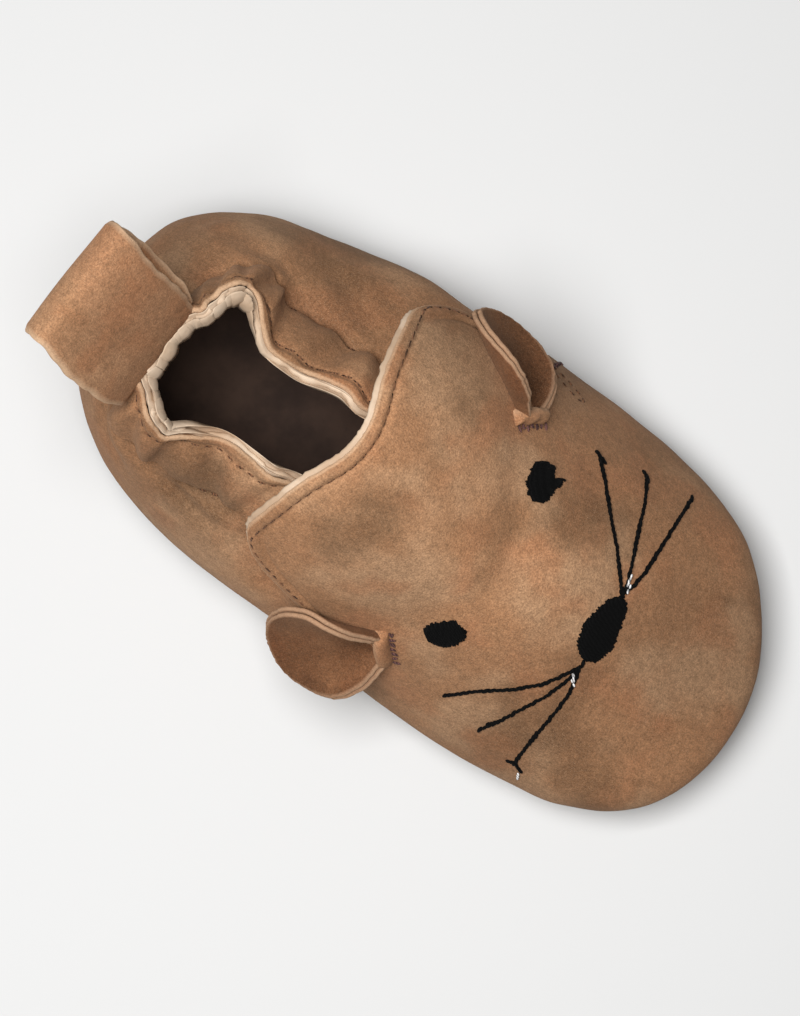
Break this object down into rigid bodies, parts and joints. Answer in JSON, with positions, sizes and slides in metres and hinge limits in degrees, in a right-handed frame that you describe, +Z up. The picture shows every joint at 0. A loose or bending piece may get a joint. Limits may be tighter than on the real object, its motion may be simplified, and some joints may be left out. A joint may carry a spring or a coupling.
{
  "type": "baby shoe",
  "caption": "Soft left baby shoe with a mouse face and cupped ears, a raised tongue, an elastic collar, a heel pull loop, a wrapped midsole and a flat crepe sole.",
  "frame": {"origin": "on the floor under the middle of the sole's length, on the outsole's flat ground face", "axes": "+X towards the toe, +Y towards the wearer's left, +Z up"},
  "size_m": [0.1353, 0.0737, 0.0796],
  "materials": {
    "crepe": "pebbled natural crepe rubber",
    "midsole_suede": "napped suede",
    "insole_leather": "smooth matt leather",
    "upper_suede": "napped suede",
    "ear_suede": "napped suede",
    "loop_suede": "napped suede"
  },
  "bodies": {
    "root": {"outsole": "crepe", "wrapped_midsole": "midsole_suede", "insole": "insole_leather", "upper": "upper_suede", "ear_left": "ear_suede", "ear_right": "ear_suede", "pull_loop": "loop_suede"}
  },
  "joints": []
}
